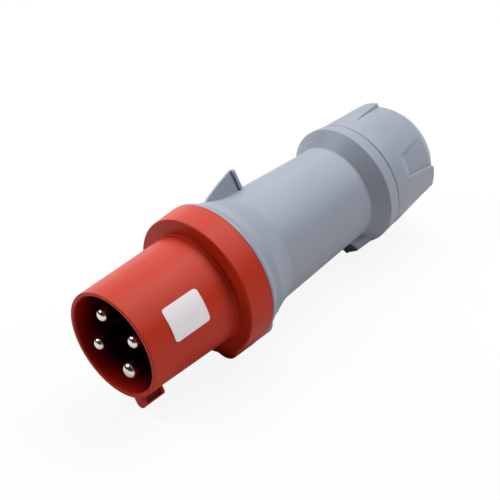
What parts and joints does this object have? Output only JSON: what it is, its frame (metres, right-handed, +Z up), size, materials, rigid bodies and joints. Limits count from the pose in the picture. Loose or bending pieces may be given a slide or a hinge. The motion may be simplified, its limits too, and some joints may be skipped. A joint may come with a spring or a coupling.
{
  "type": "industrial plug",
  "caption": "Pin-and-sleeve industrial plug with a round keyed shroud, grey handle with a hook fin, and a cable gland nut with grip wings.",
  "frame": {"origin": "centre of the mouth, on the plug's axis", "axes": "+X along the plug's axis from the mouth to the cable entry, +Z up as it lies on a table; the hook fin points up and to +Y"},
  "size_m": [0.2645, 0.0946, 0.0946],
  "materials": {
    "red_plastic": "satin",
    "grey_plastic": "satin",
    "black_plastic": "matte",
    "contact_metal": "nickel plated",
    "bare_brass": "turned",
    "screw_steel": "zinc plated",
    "seal_rubber": "matte",
    "label_film": "matte"
  },
  "bodies": {
    "housing": {"front_housing": "red_plastic", "contact_carrier": "black_plastic", "terminal_block": "black_plastic", "pin_l1": "contact_metal", "pin_l2": "contact_metal", "pin_l3": "contact_metal", "pin_earth": "contact_metal", "terminal_screws_l1": "screw_steel", "terminal_screws_l2": "screw_steel", "terminal_screws_l3": "screw_steel", "terminal_screws_earth": "screw_steel", "terminal_cover": "black_plastic", "cover_screw": "screw_steel", "housing_seal": "seal_rubber", "rear_housing": "grey_plastic", "housing_screw": "screw_steel", "thread_insert": "bare_brass", "label_plate": "label_film", "gland_seal": "seal_rubber", "clamping_cage": "black_plastic"},
    "thrust": {"thrust_ring": "black_plastic"},
    "nut": {"gland_nut": "grey_plastic"},
    "lock": {"nut_lock": "black_plastic"}
  },
  "joints": [
    {"name": "nut_travel", "type": "slide", "parent": "housing", "child": "thrust", "axis": [1, 0, 0], "range_m": [0, 0.006]},
    {"name": "nut_turn", "type": "hinge", "parent": "thrust", "child": "nut", "pos_m": [0.24, 0, 0], "axis": [1, 0, 0], "range_deg": [0, 720]},
    {"name": "lock_release", "type": "slide", "parent": "housing", "child": "lock", "axis": [-1, 0, 0], "range_m": [0, 0.003]}
  ],
  "couplings": [
    {"joint": "nut_travel", "follows": "nut_turn", "m_per_rad": 0.000477}
  ]
}
